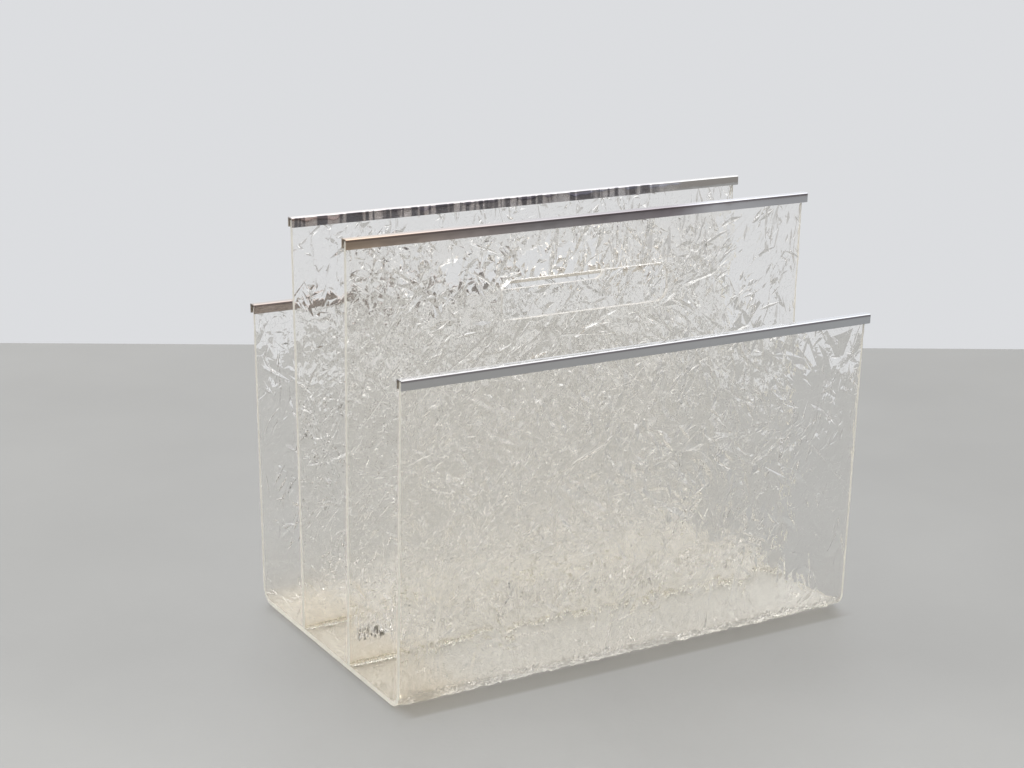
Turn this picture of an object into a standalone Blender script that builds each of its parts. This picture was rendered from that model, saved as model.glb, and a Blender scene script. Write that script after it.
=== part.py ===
"""Magazine rack of clear crinkle acrylic with chromed edge trims.

One sheet is bent into a U, which makes the front wall, the floor and the rear wall.
Two taller flat sheets stand across its floor as dividers, each with a hand slot.
Each of the four top edges is capped by a chromed U-channel, pushed on, and each divider's
foot is welded to the floor by a bead of solvent cement along either side.

Metres, +Z up, the sheets' long edges along X, the front facing -Y.
The origin is in the middle of the rack's length and depth, on the surface that it stands on.
"""

from math import cos, pi, radians, sin, tan

import bmesh
import bpy
from mathutils import Vector

# Acrylic sheets
SHEET = 0.0040  # thickness
SHEET_LENGTH = 0.3310  # along X, the same for the tray and both dividers
SHEET_SHIFT = -0.0010  # the sheets sit a little towards -X under their trims
TRAY_TOP = 0.2045  # top of the outer walls' trims
TRAY_DEPTH = 0.2103  # between the middles of the outer walls at their top edges
FRONT_LEAN = radians(2.0)  # the front wall leans outwards
REAR_LEAN = radians(1.1)
BEND_RADIUS = 0.0120  # outside of both bends
BEND_STEPS = 10

# Dividers: the middle of each foot, and how far each leans outwards
DIVIDER_TOP = 0.2720  # top of the dividers' trims
DIVIDERS = {
    "front_divider": (-0.0305, radians(1.2)),
    "rear_divider": (0.0365, radians(-0.9)),
}
SLOT_LENGTH = 0.1220
SLOT_HEIGHT = 0.0250
SLOT_TOP = 0.2358
SLOT_CORNER = 0.0080

# Chromed trims: a U-channel, open downwards
TRIM_LENGTH = 0.3350
TRIM_WIDTH = 0.0062
TRIM_HEIGHT = 0.0062
TRIM_WALL = 0.0007
TRIM_CORNER = 0.0009  # outside radius of the two folds
TRIM_VOID = 0.0011  # free height between the sheet's edge and the channel's web

# Cement beads
GAP = 0.0003  # between touching pieces
FOOT_Z = SHEET + GAP  # the dividers and the beads stand on the tray's floor
BEAD_LEG = 0.0022
BEAD_INSET = 0.0010  # a bead stops short of the sheet's ends
CORNER_STEPS = 4

ACRYLIC_COLOUR = (0.88, 0.87, 0.83)
CEMENT_COLOUR = (0.82, 0.78, 0.66)
CHROME_COLOUR = (0.72, 0.72, 0.73)


def clear_scene():
    for obj in list(bpy.data.objects):
        bpy.data.objects.remove(obj)


def make_material(name, colour, roughness, metallic=0.0, transmission=0.0):
    material = bpy.data.materials.new(name)
    material.use_nodes = True
    shader = material.node_tree.nodes["Principled BSDF"]
    shader.inputs["Base Color"].default_value = (*colour, 1.0)
    shader.inputs["Roughness"].default_value = roughness
    shader.inputs["Metallic"].default_value = metallic
    shader.inputs["Transmission Weight"].default_value = transmission
    return material


def add_object(name, mesh_data, material):
    """An object holding the finished bmesh, shaded smooth except at its real corners."""
    bmesh.ops.recalc_face_normals(mesh_data, faces=mesh_data.faces)
    mesh = bpy.data.meshes.new(name)
    mesh_data.to_mesh(mesh)
    mesh_data.free()
    mesh.shade_smooth()
    mesh.set_sharp_from_angle(angle=radians(30))
    mesh.materials.append(material)
    obj = bpy.data.objects.new(name, mesh)
    bpy.context.scene.collection.objects.link(obj)
    return obj


def rounded_path(corners, radius, steps):
    """The open line through the corners, in (y, z), with each inner corner rounded by an arc."""
    path = [corners[0]]
    for before, corner, after in zip(corners, corners[1:], corners[2:]):
        back = (before - corner).normalized()
        ahead = (after - corner).normalized()
        half_angle = back.angle(ahead) / 2
        middle = (back + ahead).normalized()
        centre = corner + middle * radius / sin(half_angle)
        start = corner + back * radius / tan(half_angle) - centre
        end = corner + ahead * radius / tan(half_angle) - centre
        sweep = pi - 2 * half_angle
        for step in range(steps + 1):
            t = step / steps
            blend = (sin((1 - t) * sweep) * start + sin(t * sweep) * end) / sin(sweep)
            path.append(centre + blend)
    path.append(corners[-1])
    return path


def bent_sheet(name, path, length, thickness, material):
    """A sheet of even thickness whose middle follows the path, in (y, z), and runs along X."""
    mesh_data = bmesh.new()
    rows = []
    for x in (-length / 2, length / 2):
        rows.append([mesh_data.verts.new((x, point.x, point.y)) for point in path])
    for left, right, next_left, next_right in zip(*rows, rows[0][1:], rows[1][1:]):
        mesh_data.faces.new((left, right, next_right, next_left))
    obj = add_object(name, mesh_data, material)
    solidify = obj.modifiers.new("Thickness", "SOLIDIFY")
    solidify.thickness = thickness
    solidify.offset = 0.0
    solidify.use_even_offset = True
    return obj


def extruded(name, outline, start, end, axis, material):
    """The flat outline swept straight from start to end along the unit vector axis."""
    mesh_data = bmesh.new()
    corners = [mesh_data.verts.new(point + axis * start) for point in outline]
    face = mesh_data.faces.new(corners)
    swept = bmesh.ops.extrude_face_region(mesh_data, geom=[face])
    moved = [item for item in swept["geom"] if isinstance(item, bmesh.types.BMVert)]
    bmesh.ops.translate(mesh_data, verts=moved, vec=axis * (end - start))
    return add_object(name, mesh_data, material)


def build_tray(material):
    """Front wall, floor and rear wall in one bent sheet."""
    floor_z = SHEET / 2
    top_z = TRAY_TOP - TRIM_WALL - TRIM_VOID
    rise = top_z - floor_z
    front_y = -TRAY_DEPTH / 2
    rear_y = TRAY_DEPTH / 2
    corners = [
        Vector((front_y, top_z)),
        Vector((front_y + rise * tan(FRONT_LEAN), floor_z)),
        Vector((rear_y - rise * tan(REAR_LEAN), floor_z)),
        Vector((rear_y, top_z)),
    ]
    path = rounded_path(corners, BEND_RADIUS - SHEET / 2, BEND_STEPS)
    tray = bent_sheet("tray", path, SHEET_LENGTH, SHEET, material)
    tray.location.x = SHEET_SHIFT


def slot_outline():
    """The hand slot's rounded rectangle, in the XZ plane, above a divider's foot."""
    middle_z = SLOT_TOP - SLOT_HEIGHT / 2 - FOOT_Z
    reach_x = SLOT_LENGTH / 2 - SLOT_CORNER
    reach_z = SLOT_HEIGHT / 2 - SLOT_CORNER
    outline = []
    for quarter, (side, level) in enumerate(((1, 1), (-1, 1), (-1, -1), (1, -1))):
        centre = Vector((side * reach_x, 0, middle_z + level * reach_z))
        for step in range(CORNER_STEPS + 1):
            angle = (quarter + step / CORNER_STEPS) * pi / 2
            outline.append(centre + SLOT_CORNER * Vector((cos(angle), 0, sin(angle))))
    return outline


def build_divider(name, foot_y, lean, material):
    """A flat sheet standing on the tray's floor, with a hand slot cut through near its top."""
    high = DIVIDER_TOP - FOOT_Z - TRIM_WALL - TRIM_VOID
    half = SHEET_LENGTH / 2
    outline = [Vector(point) for point in ((-half, 0, 0), (half, 0, 0), (half, 0, high), (-half, 0, high))]
    along_y = Vector((0, 1, 0))
    divider = extruded(name, outline, -SHEET / 2, SHEET / 2, along_y, material)
    divider.location = (SHEET_SHIFT, foot_y, FOOT_Z)
    divider.rotation_euler.x = lean
    cutter = extruded(name + "_slot_cutter", slot_outline(), -SHEET, SHEET, along_y, material)
    cutter.parent = divider
    cutter.hide_render = True
    cutter.display_type = "WIRE"
    cut = divider.modifiers.new("Hand slot", "BOOLEAN")
    cut.operation = "DIFFERENCE"
    cut.solver = "EXACT"
    cut.object = cutter
    return divider


def build_trim(name, material):
    """A chromed channel that opens downwards, its origin at the middle of its top."""
    side = (TRIM_WIDTH - TRIM_WALL) / 2
    web = -TRIM_WALL / 2
    leg = -TRIM_HEIGHT
    corners = [Vector(point) for point in ((-side, leg), (-side, web), (side, web), (side, leg))]
    path = rounded_path(corners, TRIM_CORNER - TRIM_WALL / 2, CORNER_STEPS)
    return bent_sheet(name, path, TRIM_LENGTH, TRIM_WALL, material)


def build_bead(name, foot_y, side, material):
    """A bead of set cement in the corner between a divider's face and the floor."""
    face = side * (SHEET / 2 + GAP)
    outline = [Vector((0, face, 0))]
    for step in range(CORNER_STEPS + 1):
        angle = step / CORNER_STEPS * pi / 2
        outward = BEAD_LEG * (1 - sin(angle))
        upward = BEAD_LEG * (1 - cos(angle))
        outline.append(Vector((0, face + side * outward, upward)))
    half = SHEET_LENGTH / 2 - BEAD_INSET
    bead = extruded(name, outline, -half, half, Vector((1, 0, 0)), material)
    bead.location = (SHEET_SHIFT, foot_y, FOOT_Z)


def build_rack():
    acrylic = make_material("clear_crinkle_acrylic", ACRYLIC_COLOUR, 0.08, transmission=0.9)
    cement = make_material("set_cement", CEMENT_COLOUR, 0.25, transmission=0.5)
    chrome = make_material("chrome", CHROME_COLOUR, 0.12, metallic=1.0)
    build_tray(acrylic)
    for name, (foot_y, lean) in DIVIDERS.items():
        divider = build_divider(name, foot_y, lean, acrylic)
        trim = build_trim(name + "_trim", chrome)
        trim.parent = divider
        trim.location = (-SHEET_SHIFT, 0, DIVIDER_TOP - FOOT_Z)
        build_bead(name + "_front_bead", foot_y, -1, cement)
        build_bead(name + "_rear_bead", foot_y, 1, cement)
    for name, side, lean in (("front_wall_trim", -1, FRONT_LEAN), ("rear_wall_trim", 1, -REAR_LEAN)):
        trim = build_trim(name, chrome)
        trim.location = (0, side * TRAY_DEPTH / 2, TRAY_TOP)
        trim.rotation_euler.x = lean


clear_scene()
build_rack()
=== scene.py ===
"""A clear crinkle-acrylic magazine rack with chromed edge trims, built round its CAD frame.

Each acrylic sheet is modelled as the real one is made: a flat slab, smooth on one face and
crumpled like foil on the other, which is then bent to its shape.
Metres, +Z up, the front facing -Y.
"""

from math import cos, pi, radians, sin, tan

import bmesh
import bpy
import numpy as np
from mathutils import Matrix, Vector
from mathutils.bvhtree import BVHTree
from mathutils.geometry import delaunay_2d_cdt


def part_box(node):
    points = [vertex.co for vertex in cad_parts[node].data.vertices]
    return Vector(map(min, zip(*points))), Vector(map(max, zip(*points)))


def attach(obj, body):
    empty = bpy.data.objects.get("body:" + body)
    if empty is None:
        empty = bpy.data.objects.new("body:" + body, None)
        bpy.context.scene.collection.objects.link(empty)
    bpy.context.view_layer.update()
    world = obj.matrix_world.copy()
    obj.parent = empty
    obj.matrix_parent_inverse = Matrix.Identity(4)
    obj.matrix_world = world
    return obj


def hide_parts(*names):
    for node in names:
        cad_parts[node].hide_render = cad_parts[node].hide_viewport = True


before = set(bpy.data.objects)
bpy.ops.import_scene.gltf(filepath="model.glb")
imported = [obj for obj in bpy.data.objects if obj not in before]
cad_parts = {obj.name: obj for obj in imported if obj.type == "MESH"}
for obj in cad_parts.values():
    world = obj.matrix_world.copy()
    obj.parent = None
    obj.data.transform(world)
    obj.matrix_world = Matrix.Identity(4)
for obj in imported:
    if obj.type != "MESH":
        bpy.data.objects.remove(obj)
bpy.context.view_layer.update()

# Camera: where it stands, its turn about Z, its tilt and its roll
CAMERA_AT = Vector((-0.6350, -1.0381, 0.4911))
CAMERA_AZIMUTH = radians(-30.07)
CAMERA_TILT = radians(15.49)
CAMERA_ROLL = radians(0.35)
CAMERA_LENS = 68.33  # millimetres
CAMERA_SENSOR = 36.0

# Acrylic sheets
SHEET = 0.0040
FRONT_LEAN = radians(2.0)
REAR_LEAN = radians(1.1)
BEND_RADIUS = 0.0120  # outside of the tray's bends
SLOT_LENGTH = 0.1220
SLOT_HEIGHT = 0.0250
SLOT_TOP = 0.2358
SLOT_CORNER = 0.0080
RELIEF_DEPTH = 0.00090  # the crumpled face's middle lies this far inside the sheet's outer face
LEAST_WALL = 0.0012  # the sheet is nowhere thinner
RIM_CALM = 0.0035  # the relief dies away this close to the sheet's sides

# Facets of the crumpled faces: their step across the sheet, how much longer they are up it, their
# typical rise, the share of their points left out, and how much their rows wander
FINE_FACETS = dict(step=0.0040, stretch=1.7, rise=0.00019, skipped=0.2, turn=1.2)
COARSE_FACETS = dict(step=0.0110, stretch=1.5, rise=0.00022, skipped=0.25, turn=0.5)

# Creases of the crumpled faces: how many there are on a square metre, and their measures
CREASES = (
    (4600, dict(length=(0.014, 0.040), width=(0.0020, 0.0042), slope=(0.2, 0.5),
                reach=(0.002, 0.005), lean=-12, spread=60, ridges=0.6, bow=0.12)),
    (14500, dict(length=(0.006, 0.018), width=(0.0016, 0.0034), slope=(0.3, 0.7),
                 reach=(0.0012, 0.0030), spread=75, ridges=0.4, bow=0.15)),
    (11000, dict(length=(0.003, 0.008), width=(0.0012, 0.0022), slope=(0.3, 0.8),
                 reach=(0.001, 0.002), spread=90, ridges=0.3)),
    (1100, dict(length=(0.016, 0.045), width=(0.0012, 0.0022), slope=(0.6, 1.2),
                reach=(0.001, 0.002), lean=-10, spread=55, ridges=0.8, bow=0.3)),
)

# Creases of single places: pinched along the tray's front bend, crushed at the front divider's
# left foot, upright under the dividers' trims and feathered along their feet
PINCHED = dict(count=520, length=(0.003, 0.007), width=(0.0010, 0.0018), slope=(0.5, 1.2),
               reach=(0.0006, 0.0012), spread=40, ridges=0.6)
CRUSHED = dict(count=260, length=(0.003, 0.009), width=(0.0008, 0.0014), slope=(1.2, 2.6),
               reach=(0.0005, 0.0010), spread=35)
UPRIGHTS = dict(count=70, length=(0.012, 0.030), width=(0.002, 0.0045), slope=(0.3, 0.7),
                reach=(0.002, 0.004), spread=14, ridges=0.8)
FEATHERS = dict(count=800, length=(0.006, 0.014), width=(0.0012, 0.0024), slope=(0.9, 1.8),
                reach=(0.001, 0.002), lean=-26, spread=16, ridges=0.6)
TRAY_SEED = 3
DIVIDER_SEEDS = {"front_divider": 11, "rear_divider": 12}

# Meshing
EDGE_STEP = 0.0015
RIM_MARGIN = 0.0004  # the crumpled face's own points keep this far from its edge
BEND_ROWS = 12
BEND_COLUMNS = 12
SMOOTH_ANGLE = radians(6)

# The sheets' materials, in the order of their slots
CRINKLE, SMOOTH, SAWN, CUT = range(4)
ACRYLIC_IOR = 1.49
LIGHT_THROUGH = 0.97  # share of the lights' rays that a clear sheet lets straight through
CRUMPLE_SCALE = 380
CRUMPLE_SLOPE = 0.035
TINTED_HEIGHT = 0.10  # the tints' positions are shares of this height
NEUTRAL_TINTS = ((0.045, (0.895, 0.880, 0.842)), (0.09, (0.985, 0.971, 0.944)),
                 (0.20, (0.997, 0.985, 0.965)), (0.5, (0.999, 0.991, 0.974)))
TANNED_TINTS = ((0.045, (0.860, 0.812, 0.722)), (0.09, (0.974, 0.945, 0.896)),
                (0.20, (0.997, 0.983, 0.958)), (0.5, (0.999, 0.991, 0.974)))
# Shades painted into the sheets' tint: a dark sparkle patch and slanted strokes at the front
# divider's foot
SPARKLE_PAINTED_SHADE = (0.04, 0.036, 0.028)
STROKES_PAINTED_SHADE = (0.66, 0.64, 0.58)
# A glow painted onto the sawn edges by emission, standing in for light piped through the sheet
PAINTED_EDGE_GLOW = (1.0, 0.94, 0.78)  # light that a sheet pipes to its sawn edges
PAINTED_EDGE_GLOW_STRENGTH = 0.042

# Trims
TRIM_WIDTH = 0.0062
TRIM_HEIGHT = 0.0062
TRIM_WALL = 0.0007
TRIM_CORNER = 0.0009  # outside radius of the two folds
TRIM_LIP = 0.3 * TRIM_WALL  # how far the legs' ends are rounded off
TRIM_INNER_SIDES = range(19, 24)  # the sides of its outline that face into the channel
FOLD_STEPS = 6
TRIM_STATIONS = 260
TRIM_CRIMP = {"rear_divider_trim": radians(1.2)}  # how far its crimped front side rocks
TRIM_RIPPLE = radians(0.4)  # the same of the other trims
TRIM_WAVE = 0.00001  # how far it wanders from straight
TRIM_SHARP_ANGLE = radians(25)
TRIM_SEED = 40
WALL_LEANS = {"front_wall_trim": FRONT_LEAN, "rear_wall_trim": -REAR_LEAN}
# Dark reflections painted as bars across the crimped trim's front face
PAINTED_BAR_REFLECTION = (0.24, 0.235, 0.26)
# A dark reflection painted in a thin band along the trims' upper fold
FOLD_PAINTED_REFLECTION = (0.60, 0.57, 0.60)

# Cement
CEMENT_IOR = 1.47
BEAD_LEG = 0.0022
BEAD_END = 0.002  # a bead thins out over this length
BEAD_STATIONS = 150
BEAD_SHARP_ANGLE = radians(40)
BEAD_SEED = 60

# Floor
FLOOR_NEAR = -2.2
FLOOR_FAR = 0.70
FLOOR_SIDE = 2.2
FLOOR_COLOURS = ((0.3, (0.242, 0.2445, 0.241)), (0.7, (0.267, 0.2695, 0.2665)))
# The colour of a contact shadow painted onto the floor under the rack's front bend
CONTACT_PAINTED_SHADOW = (0.74, 0.72, 0.68)

# Light
WALL_LIGHT = (0.715, 0.725, 0.745)
ROOM_LIGHT = (0.36, 0.34, 0.315)
CEILING_LIGHT = (1.0, 0.985, 0.96)


def centre(node):
    low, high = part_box(node)
    return (low + high) / 2


def divider_foot(name):
    """The y of a divider's foot, midway between its two cement beads."""
    return (centre(name + "_front_bead").y + centre(name + "_rear_bead").y) / 2


def add_mesh(name, points, faces):
    mesh = bpy.data.meshes.new(name)
    mesh.from_pydata([tuple(p) for p in points], [], [tuple(f) for f in faces])
    obj = bpy.data.objects.new(name, mesh)
    bpy.context.scene.collection.objects.link(obj)
    return obj


# ---------------------------------------------------------------- relief


class Waves:
    """A soft random field: a sum of waves between the shortest and the longest, about 1 high."""

    def __init__(self, rng, count, longest, shortest):
        turn = rng.uniform(0, 2 * pi, count)
        length = rng.uniform(shortest, longest, count)
        self.vectors = 2 * pi / length[:, None] * np.stack([np.cos(turn), np.sin(turn)], 1)
        self.phases = rng.uniform(0, 2 * pi, count)

    def at(self, points):
        return np.sin(points @ self.vectors.T + self.phases).sum(1) * np.sqrt(2 / len(self.phases))


def triangulated(points, edges):
    """The points joined into triangles that keep every edge: (points, triangles)."""
    made = delaunay_2d_cdt([Vector(p) for p in points], edges, [], 0, 1e-6, False)
    return np.array([tuple(v) for v in made[0]]), np.array(made[2])


def sides_of(triangles):
    """Every side of every triangle, as (start, end)."""
    return np.concatenate([triangles[:, [0, 1]], triangles[:, [1, 2]], triangles[:, [2, 0]]])


class Facets:
    """Flat facets between scattered points of random height, longer up the sheet than across it."""

    def __init__(self, rng, size, activity, step, stretch, rise, skipped, turn):
        columns, rows = (np.array(size) / (step, step * stretch)).astype(int) + 8
        grid = np.stack(np.meshgrid(np.arange(columns), np.arange(rows)), -1).reshape(-1, 2) - 3.0
        grid = grid[rng.uniform(size=len(grid)) > skipped]
        grid += rng.uniform(-0.5, 0.5, grid.shape)
        grid, self.triangles = triangulated(grid, [])
        self.points = grid * (step, step * stretch)
        bend = [Waves(rng, 5, 0.12, 0.05) for _ in range(2)]
        self.points += np.stack([b.at(self.points) for b in bend], 1) * turn * 0.006
        heights = rng.laplace(0, rise, len(grid)) * activity(self.points)
        corners = np.column_stack([self.points, heights])
        self.tree = BVHTree.FromPolygons(corners.tolist(), self.triangles.tolist())

    def at(self, points):
        down = Vector((0, 0, -1))
        hits = (self.tree.ray_cast(Vector((x, y, 1)), down)[0] for x, y in points)
        return np.array([hit.z if hit else 0.0 for hit in hits])

    def edges(self):
        return np.unique(np.sort(sides_of(self.triangles), axis=1), axis=0)


SLIVER_STATIONS = np.array((-1.0, -0.55, 0.0, 0.55, 1.0))  # shares of a crease's half length


class Slivers:
    """Long thin creases: tilted strips, or ridges with two sides, that run out at both ends.

    A row holds x, y, angle, half length, half width, slope, reach, bow and whether it is a ridge.
    """

    def __init__(self, rng, size, kinds):
        self.rows = np.concatenate([self.kind(rng, size, **kind) for kind in kinds])

    def kind(self, rng, size, count, length, width, slope, reach, lean=0.0, spread=90, bow=0.05,
             ridges=0.35, box=None):
        """Creases within the box, or on the whole face.

        Their lengths, widths, slopes and reaches, which is how far a strip's step dies away, lie
        within ranges. Lean and spread are degrees from upright, and ridges is the share of ridges.
        """
        low, high = box or ((0.0, 0.0), size)
        rows = np.empty((count, 9))
        rows[:, 0:2] = rng.uniform(low, high, (count, 2))
        field = Waves(rng, 4, 0.20, 0.08).at(rows[:, 0:2])
        turn = field * spread * 0.4 + rng.uniform(-spread, spread, count) * 0.6
        rows[:, 2] = np.radians(90 + lean + turn)
        rows[:, 3] = (length[0] + (length[1] - length[0]) * rng.uniform(size=count) ** 2) / 2
        rows[:, 4] = rng.uniform(*width, count) / 2
        rows[:, 5] = rng.uniform(*slope, count) * rng.choice((-1, 1), count)
        rows[:, 6] = rng.uniform(*reach, count)
        rows[:, 7] = rng.uniform(-bow, bow, count) / rows[:, 3]
        rows[:, 8] = rng.uniform(size=count) < ridges
        return rows

    def outlines(self):
        """The lines along which the creases fold."""
        lines = []
        for x, y, angle, half, side, _, _, bow, ridge in self.rows:
            along = np.array((cos(angle), sin(angle)))
            across = np.array((-along[1], along[0]))
            spine = np.outer(SLIVER_STATIONS * half, along) + (x, y)
            bent = bow * (SLIVER_STATIONS * half) ** 2
            width = side * run_out(np.abs(SLIVER_STATIONS))
            for sign in (-1, 0, 1) if ridge else (-1, 1):
                lines.append(spine + np.outer(bent + sign * width, across))
        return lines

    def at(self, points):
        order = np.argsort(points[:, 0])
        ordered = points[order]
        heights = np.zeros(len(points))
        for x, y, angle, half, side, slope, reach, bow, ridge in self.rows:
            window = half + 4 * reach
            first, last = np.searchsorted(ordered[:, 0], (x - window, x + window))
            near = first + np.flatnonzero(np.abs(ordered[first:last, 1] - y) < window)
            dx, dy = ordered[near, 0] - x, ordered[near, 1] - y
            along = dx * cos(angle) + dy * sin(angle)
            across = -dx * sin(angle) + dy * cos(angle) - bow * along ** 2
            edge = side * run_out(np.abs(along) / half)
            beyond = np.maximum(0, np.abs(across) - edge)
            if ridge:
                heights[near] += slope * np.maximum(0, edge - np.abs(across))
            else:
                heights[near] += slope * np.clip(across, -edge, edge) * np.exp(-beyond / reach)
        result = np.empty_like(heights)
        result[order] = heights
        return result


def run_out(share):
    """How wide a sliver is, from 1 at its middle to 0 at its ends."""
    return np.clip(1 - share, 0, 1) ** 0.7


class Relief:
    """The crumpled face of one sheet."""

    def __init__(self, seed, size, extra, smooth_foot=0.0, density=((0, 1), (1, 1))):
        """extra creases lie in their own boxes; density is (distances up the sheet, strengths)."""
        rng = np.random.default_rng(seed)
        calm = Waves(rng, 7, 0.09, 0.03)

        def activity(points):
            """How strong the relief is at the points: about 1 where nothing calms it."""
            level = np.clip(0.85 + 0.35 * calm.at(points), 0.4, 1.5)
            if smooth_foot:
                level *= np.clip(points[:, 1] / smooth_foot - 0.8, 0, 1)
            to_side = np.minimum(points[:, 0], size[0] - points[:, 0])
            level *= np.interp(to_side, (0.0, RIM_CALM), (0.3, 1.0))
            return level * np.interp(points[:, 1], *density)

        self.fine = Facets(rng, size, activity, **FINE_FACETS)
        self.coarse = Facets(rng, size, activity, **COARSE_FACETS)
        area = size[0] * size[1]
        kinds = [dict(kind, count=int(area * number)) for number, kind in CREASES]
        self.slivers = Slivers(rng, size, kinds + list(extra))
        rows = self.slivers.rows
        rows = rows[rng.uniform(size=len(rows)) < activity(rows[:, 0:2]) / 1.2]
        to_side = np.minimum(rows[:, 0], size[0] - rows[:, 0])
        rows[:, 4] *= np.interp(to_side, (0.0, 0.035), (0.5, 1.0))  # narrower near the sides
        self.slivers.rows = rows

    def at(self, points):
        """The face's height at the points above the sheet's outer face, which it never passes."""
        heights = self.fine.at(points) + self.coarse.at(points) + self.slivers.at(points)
        return np.clip(heights, LEAST_WALL - SHEET + RELIEF_DEPTH, RELIEF_DEPTH) - RELIEF_DEPTH


# ---------------------------------------------------------------- sheets


def rounded_rectangle(middle_x, middle_y, size_x, size_y, corner, steps=8):
    outline = []
    for quarter, (side, level) in enumerate(((1, 1), (-1, 1), (-1, -1), (1, -1))):
        x = middle_x + side * (size_x / 2 - corner)
        y = middle_y + level * (size_y / 2 - corner)
        for step in range(steps + 1):
            angle = (quarter + step / steps) * pi / 2
            outline.append(np.array((x + corner * cos(angle), y + corner * sin(angle))))
    return outline


def subdivided(loop, step):
    """The closed loop with points no further apart than step."""
    result = []
    for start, end in zip(loop, loop[1:] + loop[:1]):
        pieces = max(1, int(np.ceil(np.linalg.norm(end - start) / step)))
        result += [start + (end - start) * i / pieces for i in range(pieces)]
    return result


def inside(points, loop):
    """Which points lie inside the closed loop."""
    x, y = points[:, 0], points[:, 1]
    result = np.zeros(len(points), bool)
    for (x0, y0), (x1, y1) in zip(loop, loop[1:] + loop[:1]):
        if y0 == y1:
            continue
        crosses = (y0 > y) != (y1 > y)
        result ^= crosses & (x < (x1 - x0) * (y - y0) / (y1 - y0) + x0)
    return result


def with_line(points, edges, line, closed=False):
    """Adds the line's points and the edges between them to the lists."""
    first = len(points)
    points.extend(line)
    count = len(line)
    edges.extend((first + i, first + i + 1) for i in range(count - 1))
    if closed:
        edges.append((first + count - 1, first))


class Path:
    """The middle of a sheet's profile in (y, z), measured along its length.

    bends holds where each bend begins and ends.
    """

    def __init__(self, corners, radius):
        self.pieces = []
        self.bends = []
        self.length = 0.0
        start = Vector(corners[0])
        for before, corner, after in zip(corners, corners[1:], corners[2:]):
            back = (Vector(before) - Vector(corner)).normalized()
            ahead = (Vector(after) - Vector(corner)).normalized()
            half_angle = back.angle(ahead) / 2
            cut = radius / tan(half_angle)
            begin = Vector(corner) + back * cut
            self.add_line(start, begin)
            sweep = pi - 2 * half_angle
            middle = Vector(corner) + (back + ahead).normalized() * radius / sin(half_angle)
            self.bends.append((self.length, self.length + sweep * radius))
            self.pieces.append(("arc", self.length, sweep * radius, middle, begin - middle, radius))
            self.length += sweep * radius
            start = Vector(corner) + ahead * cut
        self.add_line(start, Vector(corners[-1]))

    def add_line(self, start, end):
        length = (end - start).length
        self.pieces.append(("line", self.length, length, start, (end - start) / length, None))
        self.length += length

    def at(self, distances, offsets):
        """Points this far along the path, moved to the right of its direction by the offsets."""
        result = np.empty((len(distances), 2))
        starts = [piece[1] for piece in self.pieces]
        index = np.searchsorted(starts, distances, side="right").clip(1) - 1
        for number, (kind, begin, length, anchor, direction, radius) in enumerate(self.pieces):
            here = index == number
            along = distances[here] - begin
            if kind == "line":
                right = np.array((direction.y, -direction.x))
                points = np.outer(along, direction) + np.outer(offsets[here], right)
            else:
                turn = along / radius
                spoke = np.array(direction) / radius
                side = np.array((-spoke[1], spoke[0]))
                spokes = np.outer(np.cos(turn), spoke) + np.outer(np.sin(turn), side)
                points = spokes * (radius + offsets[here])[:, None]
            result[here] = points + np.array(anchor)
        return result


def face_outline(size, hole):
    points, edges = [], []
    corners = [np.array(c) for c in ((0.0, 0.0), (size[0], 0.0), size, (0.0, size[1]))]
    with_line(points, edges, subdivided(corners, EDGE_STEP), closed=True)
    if hole:
        with_line(points, edges, subdivided(hole, EDGE_STEP), closed=True)
    return points, edges


def bend_rows(size, bends):
    """Straight lines across the sheet, close enough together to follow its bends."""
    columns = np.linspace(RIM_MARGIN, size[0] - RIM_MARGIN, BEND_COLUMNS)
    rows = []
    for begin, end in bends:
        for distance in np.linspace(begin, end, BEND_ROWS + 1):
            rows.append([np.array((x, distance)) for x in columns])
    return rows


def runs(line, kept):
    """The parts of the line whose points are kept, where they are longer than one point."""
    run = []
    for point, good in zip([*line, None], [*kept, False]):
        if good:
            run.append(point)
            continue
        if len(run) > 1:
            yield run
        run = []


def crumpled_face(size, relief, hole, bends):
    """The flat face as (points, triangles), with an edge along every fold of the relief."""
    guard = None
    if hole:
        middle = sum(hole) / len(hole)
        guard = [p + (p - middle) / np.linalg.norm(p - middle) * RIM_MARGIN for p in hole]

    def free(candidates):
        candidates = np.asarray(candidates)
        low, high = RIM_MARGIN, np.array(size) - RIM_MARGIN
        keep = (candidates > low).all(1) & (candidates < high).all(1)
        return keep & ~inside(candidates, guard) if guard else keep

    points, edges = face_outline(size, hole)
    keep = free(relief.fine.points)
    place = np.cumsum(keep) - 1 + len(points)
    points.extend(relief.fine.points[keep])
    edges.extend(tuple(place[e]) for e in relief.fine.edges() if keep[e].all())
    for line in relief.slivers.outlines():
        for run in runs(line, free(line)):
            with_line(points, edges, run)
    for row in bend_rows(size, bends):
        with_line(points, edges, row)
    face, triangles = triangulated(points, edges)
    if hole:
        triangles = triangles[~inside(face[triangles].mean(1), hole)]
    used = np.unique(triangles)
    renumber = np.full(len(face), -1)
    renumber[used] = np.arange(len(used))
    return face[used], renumber[triangles]


def smooth_face(size, rim_points, rim, hole, bends):
    """The back as (points, triangles), within the same rim as the crumpled face."""
    points, edges = list(rim_points), list(rim)
    for row in bend_rows(size, bends):
        with_line(points, edges, row)
    back, triangles = triangulated(points, edges)
    if hole:
        triangles = triangles[~inside(back[triangles].mean(1), hole)]
    return back, triangles


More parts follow.
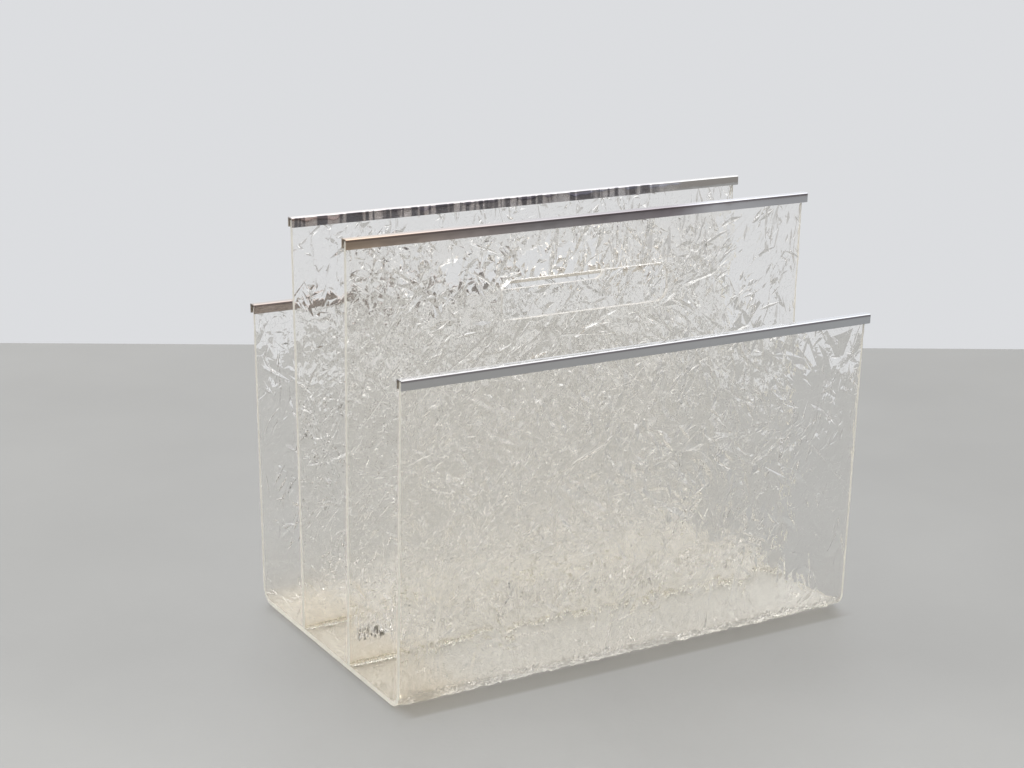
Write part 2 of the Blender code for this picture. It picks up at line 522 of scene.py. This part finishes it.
def slab(size, relief, hole, bends):
    """(flat points, their offsets, crumpled triangles, back triangles, rim triangles)."""
    face, triangles = crumpled_face(size, relief, hole, bends)
    rim = rim_edges(triangles)
    rim_points = np.unique(rim)
    place = {v: i for i, v in enumerate(rim_points)}
    back_rim = [(place[a], place[b]) for a, b in rim]
    back, back_triangles = smooth_face(size, face[rim_points], back_rim, hole, bends)
    total = len(face)
    walls = []
    for a, b in rim:
        walls.append((b, a, total + place[a]))
        walls.append((b, total + place[a], total + place[b]))
    points = np.concatenate([face, back])
    offsets = np.concatenate([SHEET / 2 + relief.at(face), np.full(len(back), -SHEET / 2)])
    return points, offsets, triangles, back_triangles[:, ::-1] + total, np.array(walls)


def rim_edges(triangles):
    """The edges that belong to one triangle, each in that triangle's direction."""
    ends = sides_of(triangles)
    _, index, count = np.unique(
        np.sort(ends, axis=1), axis=0, return_inverse=True, return_counts=True)
    return ends[count[index.reshape(-1)] == 1]


def build_sheet(name, path, low_x, high_x, relief, hole=None, outward=1):
    """A slab bent along the path; outward is 1 for a crumpled face on the path's right, or -1."""
    size = (high_x - low_x, path.length)
    flat, offsets, face, back, walls = slab(size, relief, hole, path.bends)
    points = np.column_stack([flat[:, 0] + low_x, path.at(flat[:, 1], offsets * outward)])
    triangles = np.concatenate([face, back, walls])
    if outward > 0:
        triangles = triangles[:, ::-1]
    obj = add_mesh(name, points, triangles)
    mesh = obj.data
    mesh.shade_smooth()
    slots = np.repeat((CRINKLE, SMOOTH, SAWN), (len(face), len(back), len(walls)))
    if hole is not None:
        rim = slots[len(face) + len(back):]
        rim_places = flat[walls[:, 0]]
        from_edge = np.minimum(rim_places, np.array(size) - rim_places).min(1)
        rim[from_edge > RIM_MARGIN] = CUT
        rim[flat[walls][:, :, 1].max(1) < RIM_MARGIN / 2] = SMOOTH  # the foot
    mesh.polygons.foreach_set("material_index", slots.astype(np.int32))
    mesh.set_sharp_from_angle(angle=SMOOTH_ANGLE)
    return obj


# ---------------------------------------------------------------- materials


def new_material(name):
    material = bpy.data.materials.new(name)
    material.use_nodes = True
    tree = material.node_tree
    return material, tree, tree.nodes["Principled BSDF"]


def noise(tree, scale, detail, stretch=(1, 1, 1), vector=None):
    """A noise texture laid out in the object's own metres, or along another vector."""
    if vector is None:
        vector = tree.nodes.new("ShaderNodeTexCoord").outputs["Object"]
    mapping = tree.nodes.new("ShaderNodeMapping")
    mapping.inputs["Scale"].default_value = stretch
    texture = tree.nodes.new("ShaderNodeTexNoise")
    texture.inputs["Scale"].default_value = scale
    texture.inputs["Detail"].default_value = detail
    tree.links.new(vector, mapping.inputs["Vector"])
    tree.links.new(mapping.outputs["Vector"], texture.inputs["Vector"])
    return texture


def ramp(tree, source, stops):
    """The source's value turned into a colour by (position, colour) stops."""
    node = tree.nodes.new("ShaderNodeValToRGB")
    elements = node.color_ramp.elements
    while len(elements) < len(stops):
        elements.new(0.5)
    for element, (position, colour) in zip(elements, stops):
        element.position = position
        element.color = (*colour, 1)
    tree.links.new(source, node.inputs["Fac"])
    return node.outputs["Color"]


def grey(*levels):
    return [(position, (value, value, value)) for position, value in levels]


def bump(tree, shader, source, strength, distance):
    node = tree.nodes.new("ShaderNodeBump")
    node.inputs["Strength"].default_value = strength
    node.inputs["Distance"].default_value = distance
    tree.links.new(source, node.inputs["Height"])
    tree.links.new(node.outputs["Normal"], shader.inputs["Normal"])


def mixed(tree, factor, first, second, blend="MIX"):
    """The first colour where the factor is 0 and the second where it is 1: sockets or colours."""
    node = tree.nodes.new("ShaderNodeMix")
    node.data_type = "RGBA"
    node.blend_type = blend
    tree.links.new(factor.socket, node.inputs["Factor"])
    for number, colour in ((6, first), (7, second)):
        if isinstance(colour, tuple):
            node.inputs[number].default_value = (*colour, 1)
        else:
            tree.links.new(colour, node.inputs[number])
    return node.outputs[2]


class Formula:
    """Math nodes written as sums and products."""

    def __init__(self, tree, socket):
        self.tree, self.socket = tree, socket

    def combine(self, operation, other):
        node = self.tree.nodes.new("ShaderNodeMath")
        node.operation = operation
        self.tree.links.new(self.socket, node.inputs[0])
        if isinstance(other, Formula):
            self.tree.links.new(other.socket, node.inputs[1])
        else:
            node.inputs[1].default_value = other
        return Formula(self.tree, node.outputs[0])

    def __add__(self, other):
        return self.combine("ADD", other)

    def __mul__(self, other):
        return self.combine("MULTIPLY", other)

    def scaled(self, low, high):
        """0 at low and 1 at high."""
        node = self.tree.nodes.new("ShaderNodeMapRange")
        self.tree.links.new(self.socket, node.inputs["Value"])
        node.inputs["From Min"].default_value = low
        node.inputs["From Max"].default_value = high
        return Formula(self.tree, node.outputs["Result"])

    def eased(self, low, high, to_low=0.0, to_high=1.0):
        """to_low up to low and to_high from high on, with a smooth change between them."""
        node = self.tree.nodes.new("ShaderNodeMapRange")
        node.interpolation_type = "SMOOTHSTEP"
        self.tree.links.new(self.socket, node.inputs["Value"])
        ends = {"From Min": low, "From Max": high, "To Min": to_low, "To Max": to_high}
        for socket, value in ends.items():
            node.inputs[socket].default_value = value
        return Formula(self.tree, node.outputs["Result"])


class Vectors:
    """Vector nodes written as sums and products."""

    def __init__(self, tree, socket):
        self.tree, self.socket = tree, socket

    def node(self, operation):
        node = self.tree.nodes.new("ShaderNodeVectorMath")
        node.operation = operation
        self.tree.links.new(self.socket, node.inputs[0])
        return node

    def __add__(self, other):
        node = self.node("ADD")
        if isinstance(other, Vectors):
            self.tree.links.new(other.socket, node.inputs[1])
        else:
            node.inputs[1].default_value = other
        return Vectors(self.tree, node.outputs[0])

    def __mul__(self, factor):
        node = self.node("SCALE")
        if isinstance(factor, Formula):
            self.tree.links.new(factor.socket, node.inputs["Scale"])
        else:
            node.inputs["Scale"].default_value = factor
        return Vectors(self.tree, node.outputs[0])

    def dot(self, other):
        node = self.node("DOT_PRODUCT")
        self.tree.links.new(other.socket, node.inputs[1])
        return node.outputs["Value"]


def axes(tree, vector):
    """The vector's x, y and z."""
    split = tree.nodes.new("ShaderNodeSeparateXYZ")
    tree.links.new(vector, split.inputs[0])
    return [Formula(tree, output) for output in split.outputs]


def object_axes(tree):
    return axes(tree, tree.nodes.new("ShaderNodeTexCoord").outputs["Object"])


def let_light_through(tree, shader):
    """Lets the lights' rays straight through, so that the clear sheets cast hardly any shadow."""
    path = tree.nodes.new("ShaderNodeLightPath")
    clear = tree.nodes.new("ShaderNodeBsdfTransparent")
    clear.inputs["Color"].default_value = (LIGHT_THROUGH, LIGHT_THROUGH, LIGHT_THROUGH, 1)
    mix = tree.nodes.new("ShaderNodeMixShader")
    tree.links.new(path.outputs["Is Shadow Ray"], mix.inputs["Fac"])
    tree.links.new(shader.outputs["BSDF"], mix.inputs[1])
    tree.links.new(clear.outputs["BSDF"], mix.inputs[2])
    tree.links.new(mix.outputs["Shader"], tree.nodes["Material Output"].inputs["Surface"])


def sheet_tint(tree):
    """(tint, height): the sheet's slight tint, yellower towards the floor and at its left end."""
    x, _, z = object_axes(tree)
    height = z.scaled(0.0, TINTED_HEIGHT)
    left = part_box("tray")[0].x
    at_end = x.eased(left + 0.02, left + 0.07, 1.0, 0.0)
    tints = ramp(tree, height.socket, NEUTRAL_TINTS), ramp(tree, height.socket, TANNED_TINTS)
    return mixed(tree, at_end, *tints), height


def painted_shade_streaks(tree, tint, place, reach, streaks, lean, shade_colour):
    """The tint, with shade painted within reach of the place in streaks that lean right of upright.
    """
    coordinates = tree.nodes.new("ShaderNodeTexCoord")
    away = Vectors(tree, coordinates.outputs["Object"]) + tuple(-p for p in place)
    here = None
    for axis, distance in zip(axes(tree, away.socket), reach):
        side = axis * (1 / distance)
        side = (side * side).eased(0.5, 1.0, 1.0, 0.0)
        here = here * side if here else side
    turn = tree.nodes.new("ShaderNodeVectorRotate")
    turn.rotation_type = "Y_AXIS"
    turn.inputs["Angle"].default_value = -lean
    tree.links.new(away.socket, turn.inputs["Vector"])
    marks = noise(tree, streaks, 2, (1, 1, 0.22), turn.outputs[0])
    dark = Formula(tree, marks.outputs["Fac"]).eased(0.53, 0.58) * here
    return mixed(tree, dark, tint, shade_colour)


def crinkle_material():
    material, tree, shader = new_material("crinkle_acrylic")
    let_light_through(tree, shader)
    tint, height = sheet_tint(tree)
    low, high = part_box("front_divider")
    foot_y = centre("front_divider_front_bead").y + 0.002
    # Painted shade in the tint: a dark patch for the crushed relief's dark sparkle at the left
    # foot, and slanted strokes along the foot
    dark_sparkle_place = (low.x + 0.0155, foot_y, low.z + 0.0190)
    tint = painted_shade_streaks(tree, tint, dark_sparkle_place, (0.0105, 0.006, 0.0045), 900, 0.0, SPARKLE_PAINTED_SHADE)
    strokes = ((low.x + high.x) / 2 + 0.008, foot_y, low.z + 0.015)
    tint = painted_shade_streaks(tree, tint, strokes, (0.135, 0.006, 0.015), 600, radians(30), STROKES_PAINTED_SHADE)
    tree.links.new(tint, shader.inputs["Base Color"])
    shader.inputs["IOR"].default_value = ACRYLIC_IOR
    cloud = noise(tree, 14, 3)
    haze = ramp(tree, cloud.outputs["Fac"], grey((0.35, 0.992), (0.7, 0.98)))
    foot = ramp(tree, height.socket, grey((0.045, 0.885), (0.09, 0.975), (0.4, 1.0)))
    clear = Formula(tree, haze) * Formula(tree, foot)
    tree.links.new(clear.socket, shader.inputs["Transmission Weight"])
    rough = ramp(tree, cloud.outputs["Fac"], grey((0.45, 0.0), (0.75, 0.03)))
    tree.links.new(rough, shader.inputs["Roughness"])
    crumple(tree, shader)
    return material


def crumple(tree, shader):
    """Covers the face in small flat facets, each tilted its own way."""
    place = Vectors(tree, tree.nodes.new("ShaderNodeTexCoord").outputs["Object"])
    warp = Vectors(tree, noise(tree, 180, 2).outputs["Color"])
    spot = place + warp * 0.006
    mapping = tree.nodes.new("ShaderNodeMapping")
    mapping.inputs["Scale"].default_value = (1, 1, 0.6)
    tree.links.new(spot.socket, mapping.inputs["Vector"])
    cells = tree.nodes.new("ShaderNodeTexVoronoi")
    cells.inputs["Scale"].default_value = CRUMPLE_SCALE
    tree.links.new(mapping.outputs["Vector"], cells.inputs["Vector"])
    middle = Vectors(tree, cells.outputs["Position"])
    away = Vectors(tree, mapping.outputs["Vector"]) + middle * -1.0
    tilt = Vectors(tree, cells.outputs["Color"]) * (2 * CRUMPLE_SLOPE) + (-CRUMPLE_SLOPE,) * 3
    bump(tree, shader, away.dot(tilt), 1.0, 1.0)


def smooth_material():
    material, tree, shader = new_material("smooth_acrylic")
    let_light_through(tree, shader)
    tint, _ = sheet_tint(tree)
    tree.links.new(tint, shader.inputs["Base Color"])
    shader.inputs["IOR"].default_value = ACRYLIC_IOR
    shader.inputs["Transmission Weight"].default_value = 1.0
    scuff = noise(tree, 30, 5)
    rough = ramp(tree, scuff.outputs["Fac"], grey((0.5, 0.0), (0.8, 0.03)))
    tree.links.new(rough, shader.inputs["Roughness"])
    return material


def sawn_material():
    material, tree, shader = new_material("sawn_acrylic_edge")
    shader.inputs["IOR"].default_value = ACRYLIC_IOR
    shader.inputs["Transmission Weight"].default_value = 0.3
    shader.inputs["Roughness"].default_value = 0.35
    # Painted glow: the sawn edges emit a little cream light
    shader.inputs["Emission Color"].default_value = (*PAINTED_EDGE_GLOW, 1)
    shader.inputs["Emission Strength"].default_value = PAINTED_EDGE_GLOW_STRENGTH
    marks = noise(tree, 700, 4)
    tones = ((0.3, (0.86, 0.83, 0.74)), (0.7, (0.96, 0.94, 0.87)))
    colour = ramp(tree, marks.outputs["Fac"], tones)
    tree.links.new(colour, shader.inputs["Base Color"])
    bump(tree, shader, marks.outputs["Fac"], 0.4, 0.0003)
    return material


def cut_material():
    """The hand slots' edge, cut smoother than the sheets' sawn sides."""
    material, tree, shader = new_material("cut_acrylic_edge")
    shader.inputs["IOR"].default_value = ACRYLIC_IOR
    shader.inputs["Transmission Weight"].default_value = 0.6
    marks = noise(tree, 300, 4)
    tones = ((0.3, (0.80, 0.76, 0.69)), (0.7, (0.92, 0.90, 0.86)))
    colour = ramp(tree, marks.outputs["Fac"], tones)
    tree.links.new(colour, shader.inputs["Base Color"])
    rough = ramp(tree, marks.outputs["Fac"], grey((0.3, 0.1), (0.7, 0.25)))
    tree.links.new(rough, shader.inputs["Roughness"])
    bump(tree, shader, marks.outputs["Fac"], 0.3, 0.0003)
    return material


def chrome_material(name, trim, tones, painted_bars=False):
    """Bright chrome with reflections painted into its colour, its tone changing along the trim.

    Bars are dark reflections painted across the crimped front face; a trim without them has a dark
    reflection painted along its upper fold.
    """
    material, tree, shader = new_material(name)
    shader.inputs["Metallic"].default_value = 1.0
    cloud = noise(tree, 9, 4)
    x, y, z = object_axes(tree)
    along = x.scaled(-0.17, 0.17) + Formula(tree, cloud.outputs["Fac"]) * 0.12
    # Reflections painted into the colour: the tone changes along the trim
    colour = ramp(tree, along.socket, tones)
    if painted_bars:
        # Dark bars painted as reflections across the trim's front face
        marks = noise(tree, 230, 3, (1, 0.02, 0.06))
        face_y = centre(trim).y - TRIM_WIDTH / 2
        unmarked = y.eased(face_y + 0.0003, face_y + 0.0006) + along.eased(0.84, 0.90)
        plain = Formula(tree, marks.outputs["Fac"]).eased(0.46, 0.58) + unmarked
        colour = mixed(tree, plain, PAINTED_BAR_REFLECTION, colour)
    else:
        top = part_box(trim)[1].z
        # A dark reflection painted in a thin band just under the top
        fold = z.eased(top - 0.0019, top - 0.0016) * z.eased(top - 0.0006, top - 0.0004, 1.0, 0.0)
        colour = mixed(tree, fold, colour, FOLD_PAINTED_REFLECTION, "MULTIPLY")
    tree.links.new(colour, shader.inputs["Base Color"])
    smear = noise(tree, 120, 4, (0.15, 1, 1))
    rough = ramp(tree, smear.outputs["Fac"], grey((0.35, 0.04), (0.75, 0.14)))
    tree.links.new(rough, shader.inputs["Roughness"])
    bump(tree, shader, smear.outputs["Fac"], 0.12, 0.0003)
    return material


def unplated_material():
    """The channels' inside, where the plating is thin and dull with old glue."""
    material, tree, shader = new_material("channel_inside")
    shader.inputs["Metallic"].default_value = 0.4
    cloud = noise(tree, 400, 4)
    tones = ((0.35, (0.30, 0.25, 0.20)), (0.65, (0.55, 0.50, 0.44)))
    colour = ramp(tree, cloud.outputs["Fac"], tones)
    tree.links.new(colour, shader.inputs["Base Color"])
    rough = ramp(tree, cloud.outputs["Fac"], grey((0.3, 0.35), (0.7, 0.6)))
    tree.links.new(rough, shader.inputs["Roughness"])
    return material


def cement_material():
    material, tree, shader = new_material("set_cement")
    shader.inputs["IOR"].default_value = CEMENT_IOR
    shader.inputs["Transmission Weight"].default_value = 0.85
    lumps = noise(tree, 500, 4)
    tones = ((0.3, (0.90, 0.87, 0.79)), (0.7, (0.96, 0.95, 0.90)))
    colour = ramp(tree, lumps.outputs["Fac"], tones)
    tree.links.new(colour, shader.inputs["Base Color"])
    rough = ramp(tree, lumps.outputs["Fac"], grey((0.3, 0.1), (0.7, 0.4)))
    tree.links.new(rough, shader.inputs["Roughness"])
    bump(tree, shader, lumps.outputs["Fac"], 0.2, 0.0004)
    return material


# ---------------------------------------------------------------- pieces


def finish_piece(piece, replaced, materials):
    for material in materials:
        piece.data.materials.append(material)
    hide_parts(replaced)
    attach(piece, "root")


def build_acrylic():
    materials = [crinkle_material(), smooth_material(), sawn_material(), cut_material()]
    build_tray(materials)
    for name in DIVIDER_SEEDS:
        build_divider(name, materials)


def build_tray(materials):
    low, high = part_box("tray")
    front_y, rear_y = centre("front_wall_trim").y, centre("rear_wall_trim").y
    rise = high.z - SHEET / 2
    corners = [
        (front_y, high.z),
        (front_y + rise * tan(FRONT_LEAN), SHEET / 2),
        (rear_y - rise * tan(REAR_LEAN), SHEET / 2),
        (rear_y, high.z),
    ]
    path = Path(corners, BEND_RADIUS - SHEET / 2)
    size = (high.x - low.x, path.length)
    (_, floor_start), (floor_end, _) = path.bends
    # Calm low on the front wall, pinched where it bends, and nearly smooth on the floor
    density = list(zip(
        (0, 1.0), (floor_start - 0.11, 1.0), (floor_start - 0.06, 0.35),
        (floor_start - 0.012, 0.35), (floor_start - 0.009, 1.2), (floor_start, 1.2),
        (floor_start + 0.004, 0.12), (floor_end - 0.01, 0.12), (floor_end, 0.8),
    ))
    pinched = dict(PINCHED, box=((0.0, floor_start - 0.010), (size[0], floor_start)))
    relief = Relief(TRAY_SEED, size, [pinched], density=density)
    tray = build_sheet("crinkle_tray", path, low.x, high.x, relief)
    finish_piece(tray, "tray", materials)


def build_divider(name, materials):
    low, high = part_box(name)
    path = Path([(divider_foot(name), low.z), (centre(name + "_trim").y, high.z)], 0)
    size = (high.x - low.x, path.length)
    extra = [
        dict(UPRIGHTS, box=((0.0, size[1] - 0.028), (size[0], size[1] - 0.006))),
        dict(FEATHERS, box=((0.035, 0.011), (size[0] - 0.02, 0.027))),
    ]
    if name == "front_divider":
        extra.append(dict(CRUSHED, box=((0.004, 0.016), (0.030, 0.030))))
    relief = Relief(DIVIDER_SEEDS[name], size, extra, smooth_foot=0.010)
    middle_z = SLOT_TOP - SLOT_HEIGHT / 2 - low.z
    hole = rounded_rectangle(size[0] / 2, middle_z, SLOT_LENGTH, SLOT_HEIGHT, SLOT_CORNER)
    divider = build_sheet("crinkle_" + name, path, low.x, high.x, relief, hole, outward=-1)
    finish_piece(divider, name, materials)


def channel_outline():
    """The trim's section in (y, z) below its top: round the outside, then back round the inside."""
    side = TRIM_WIDTH / 2
    inner = side - TRIM_WALL
    corner = TRIM_CORNER - TRIM_WALL
    foot = -TRIM_HEIGHT

    def fold(sign):
        """The outside of a fold, from the top down to the side."""
        points = []
        for step in range(FOLD_STEPS + 1):
            angle = pi / 2 * step / FOLD_STEPS
            y = sign * (side - TRIM_CORNER * (1 - sin(angle)))
            points.append((y, -TRIM_CORNER * (1 - cos(angle))))
        return points

    return [
        (-side + TRIM_LIP, foot), (-side, foot + TRIM_LIP), *reversed(fold(-1)),
        *fold(1), (side, foot + TRIM_LIP), (side - TRIM_LIP, foot),
        (inner + TRIM_LIP, foot), (inner, foot + TRIM_LIP),
        (inner, -TRIM_WALL - corner), (inner - corner, -TRIM_WALL),
        (corner - inner, -TRIM_WALL), (-inner, -TRIM_WALL - corner),
        (-inner, foot + TRIM_LIP), (-inner - TRIM_LIP, foot),
    ]


def trim_lean(name):
    """How far the trim and its sheet lean, about X."""
    if name in WALL_LEANS:
        return WALL_LEANS[name]
    divider = name[:-len("_trim")]
    rise = centre(name).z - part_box(divider)[0].z
    return -(centre(name).y - divider_foot(divider)) / rise


def trim_rings(name, rng, outline):
    """The outline repeated along the trim, leaning with its sheet, a little wavy and crimped."""
    low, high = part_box(name)
    middle_y = (low.y + high.y) / 2
    lean = trim_lean(name)
    wave_y, wave_z = Waves(rng, 6, 0.06, 0.015), Waves(rng, 6, 0.06, 0.015)
    crimp = Waves(rng, 9, 0.030, 0.006)
    most = TRIM_CRIMP.get(name, TRIM_RIPPLE)
    rings = []
    for x in np.linspace(low.x, high.x, TRIM_STATIONS):
        spot = np.array([[x, 0.0]])
        moved = wave_y.at(spot)[0] * TRIM_WAVE, min(0, wave_z.at(spot)[0] * TRIM_WAVE)
        ring = outline + moved
        rock = most * np.interp(x, (0.10, 0.13), (1, 0.1)) * crimp.at(spot)[0]
        front = ring[:, 0] < -0.0015
        ring[front, 0] -= rock * (ring[front, 1] + TRIM_HEIGHT / 2)
        y = ring[:, 0] * cos(lean) - ring[:, 1] * sin(lean)
        z = ring[:, 0] * sin(lean) + ring[:, 1] * cos(lean)
        rings.append(np.column_stack([np.full(len(ring), x), y + middle_y, z]))
    rings = np.array(rings)
    rings[:, :, 2] += high.z - rings[:, :, 2].max()
    rings[:, :, 1] += middle_y - (rings[:, :, 1].max() + rings[:, :, 1].min()) / 2
    return rings


def build_trims():
    # The tones along each trim are reflections and highlights painted into its colour
    chromes = {
        "front_wall_trim": chrome_material("bright_chrome", "front_wall_trim", [
            (0.06, (0.59, 0.59, 0.60)), (1.0, (0.60, 0.62, 0.66))]),
        "front_divider_trim": chrome_material("front_divider_chrome_painted_reflections", "front_divider_trim", [
            (0.06, (0.60, 0.47, 0.36)), (0.25, (0.50, 0.43, 0.41)), (0.45, (0.42, 0.40, 0.42)),
            (0.74, (0.35, 0.32, 0.35)), (0.84, (0.70, 0.71, 0.77)), (1.0, (0.60, 0.61, 0.66))]),
        "rear_divider_trim": chrome_material("crimped_chrome_painted_bars", "rear_divider_trim", [
            (0.06, (0.70, 0.65, 0.65)), (0.80, (0.68, 0.67, 0.71)),
            (0.92, (0.66, 0.66, 0.67))], painted_bars=True),
        "rear_wall_trim": chrome_material("rear_wall_chrome_painted_reflections", "rear_wall_trim", [
            (0.06, (0.45, 0.39, 0.36)), (0.56, (0.45, 0.43, 0.43)), (0.66, (1.0, 0.96, 0.90))]),
    }
    unplated = unplated_material()
    outline = np.array(channel_outline())
    count = len(outline)
    faces = swept_faces(TRIM_STATIONS, count)
    for seed, name in enumerate(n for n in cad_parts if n.endswith("_trim")):
        rings = trim_rings(name, np.random.default_rng(TRIM_SEED + seed), outline)
        piece = add_mesh("chrome_" + name, rings.reshape(-1, 3), faces)
        shade_outwards(piece.data, TRIM_SHARP_ANGLE)
        for number, polygon in enumerate(piece.data.polygons[:(TRIM_STATIONS - 1) * count]):
            polygon.material_index = int(number % count in TRIM_INNER_SIDES)
        finish_piece(piece, name, [chromes[name], unplated])


def swept_faces(stations, count):
    """The sides between successive rings of count points, then the two ends."""
    faces = []
    for i in range(stations - 1):
        for j in range(count):
            k = (j + 1) % count
            faces.append((i * count + j, i * count + k, (i + 1) * count + k, (i + 1) * count + j))
    last = (stations - 1) * count
    return faces + [tuple(range(count)), tuple(range(last, last + count))]


def shade_outwards(mesh, sharp_angle):
    """Turns every face outwards and shades it smooth except at corners sharper than the angle."""
    work = bmesh.new()
    work.from_mesh(mesh)
    bmesh.ops.recalc_face_normals(work, faces=work.faces)
    work.to_mesh(mesh)
    work.free()
    mesh.shade_smooth()
    mesh.set_sharp_from_angle(angle=sharp_angle)


def build_beads():
    cement = cement_material()
    for seed, name in enumerate(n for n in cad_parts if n.endswith("_bead")):
        rng = np.random.default_rng(BEAD_SEED + seed)
        low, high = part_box(name)
        side = -1 if "front_bead" in name else 1
        face_y = high.y if side < 0 else low.y
        swell = Waves(rng, 8, 0.03, 0.004)
        rings = []
        for x in np.linspace(low.x, high.x, BEAD_STATIONS):
            spot = np.array([[x, 0.0]])
            end = min(1, (x - low.x) / BEAD_END + 0.3, (high.x - x) / BEAD_END + 0.3)
            leg = BEAD_LEG * np.clip(0.7 + 0.20 * swell.at(spot)[0], 0.3, 1.0) * end
            ring = [(x, face_y, low.z)]
            for step in range(6):
                angle = step / 5 * pi / 2
                y = face_y + side * leg * (1 - sin(angle))
                ring.append((x, y, low.z + leg * (1 - cos(angle))))
            rings.append(ring)
        points = [p for ring in rings for p in ring]
        piece = add_mesh("cement_" + name, points, swept_faces(BEAD_STATIONS, len(rings[0])))
        shade_outwards(piece.data, BEAD_SHARP_ANGLE)
        finish_piece(piece, name, [cement])


# ---------------------------------------------------------------- stage


def floor_material(forward):
    """Grey paint with painted shade that changes its tone with the distance, and a painted shadow
    under the rack's front bend.
    """
    material, tree, shader = new_material("painted_floor")
    patches = noise(tree, 5, 6)
    colour = ramp(tree, patches.outputs["Fac"], FLOOR_COLOURS)
    x, y, _ = object_axes(tree)
    depth = x * forward.x + y * forward.y
    # Painted shade: the floor is lighter from a quarter metre in front of the rack, darker far out
    # in front, and darker at and behind the rack
    level = depth.eased(-1.0, -0.60, 0.60, 1.0) * depth.eased(-0.26, -0.06, 1.13, 0.91)
    level = level * depth.eased(0.0, 0.6, 1.0, 0.92)
    paint = Vectors(tree, colour) * level
    # A contact shadow painted onto the floor in a band along the rack's front bend
    foot_y = centre("front_wall_trim").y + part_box("front_wall_trim")[1].z * tan(FRONT_LEAN)
    painted_contact_shadow = y.eased(foot_y - 0.0140, foot_y - 0.0090) * x.eased(-0.170, -0.158)
    painted_contact_shadow = painted_contact_shadow * x.eased(0.150, 0.170, 1.0, 0.0)
    painted_contact_shadow = painted_contact_shadow * y.eased(foot_y + 0.004, foot_y + 0.016, 1.0, 0.0)
    shaded = mixed(tree, painted_contact_shadow, paint.socket, CONTACT_PAINTED_SHADOW, "MULTIPLY")
    tree.links.new(shaded, shader.inputs["Base Color"])
    shader.inputs["Roughness"].default_value = 0.45
    grain = noise(tree, 300, 4)
    bump(tree, shader, grain.outputs["Fac"], 0.1, 0.0005)
    return material


def build_stage():
    forward = Vector((-sin(CAMERA_AZIMUTH), cos(CAMERA_AZIMUTH), 0))
    across = Vector((cos(CAMERA_AZIMUTH), sin(CAMERA_AZIMUTH), 0))
    places = [(FLOOR_NEAR, -FLOOR_SIDE), (FLOOR_NEAR, FLOOR_SIDE),
              (FLOOR_FAR, FLOOR_SIDE), (FLOOR_FAR, -FLOOR_SIDE)]
    corners = [forward * depth + across * side for depth, side in places]
    floor = add_mesh("floor", corners, [(0, 1, 2, 3)])
    floor.data.materials.append(floor_material(forward))


def build_lights():
    """A studio sky: a pale wall behind, a dimmer room in front, and a broad bright ceiling."""
    world = bpy.data.worlds.new("studio")
    bpy.context.scene.world = world
    world.use_nodes = True
    tree = world.node_tree
    background = tree.nodes["Background"]
    x, y, z = axes(tree, tree.nodes.new("ShaderNodeTexCoord").outputs["Generated"])
    depth = x * -sin(CAMERA_AZIMUTH) + y * cos(CAMERA_AZIMUTH)
    side = x * cos(CAMERA_AZIMUTH) + y * sin(CAMERA_AZIMUTH)
    behind = depth.eased(-0.35, 0.15) * (side * side).eased(0.085, 0.22, 1.0, 0.45)
    behind = behind * z.eased(-0.05, -0.01, 1.0, 0.5)
    behind = behind + z.eased(0.02, 0.07, 0.0, 0.65) * depth.eased(-0.3, 0.1)
    walls = mixed(tree, behind, ROOM_LIGHT, WALL_LIGHT)
    height = z.eased(0.35, 0.75, 0.0, 1.0) + z.eased(0.03, 0.09, 0.0, 0.36) * depth.eased(-0.3, 0.1)
    key = (side * -0.45 + depth * 0.45 + z * 0.77).eased(0.5, 0.98, 0.0, 0.5)
    above = tree.nodes.new("ShaderNodeVectorMath")
    above.operation = "SCALE"
    above.inputs[0].default_value = CEILING_LIGHT
    tree.links.new((height + key).socket, above.inputs["Scale"])
    total = Vectors(tree, walls) + Vectors(tree, above.outputs[0])
    tree.links.new(total.socket, background.inputs["Color"])


def build_camera():
    back = Vector((sin(CAMERA_AZIMUTH) * cos(CAMERA_TILT), -cos(CAMERA_AZIMUTH) * cos(CAMERA_TILT),
                   sin(CAMERA_TILT)))
    level = Vector((cos(CAMERA_AZIMUTH), sin(CAMERA_AZIMUTH), 0))
    upright = back.cross(level)
    right = level * cos(CAMERA_ROLL) + upright * sin(CAMERA_ROLL)
    up = upright * cos(CAMERA_ROLL) - level * sin(CAMERA_ROLL)
    camera_data = bpy.data.cameras.new("camera")
    camera_data.sensor_width = CAMERA_SENSOR
    camera_data.lens = CAMERA_LENS
    camera = bpy.data.objects.new("camera", camera_data)
    turn = Matrix((right, up, back)).transposed()
    camera.matrix_world = Matrix.Translation(CAMERA_AT) @ turn.to_4x4()
    bpy.context.scene.collection.objects.link(camera)
    bpy.context.scene.camera = camera


build_camera()
build_stage()
build_lights()
build_acrylic()
build_trims()
build_beads()

scene = bpy.context.scene
scene.view_settings.view_transform = "Standard"
scene.cycles.max_bounces = 32
scene.cycles.transmission_bounces = 32
scene.cycles.glossy_bounces = 12
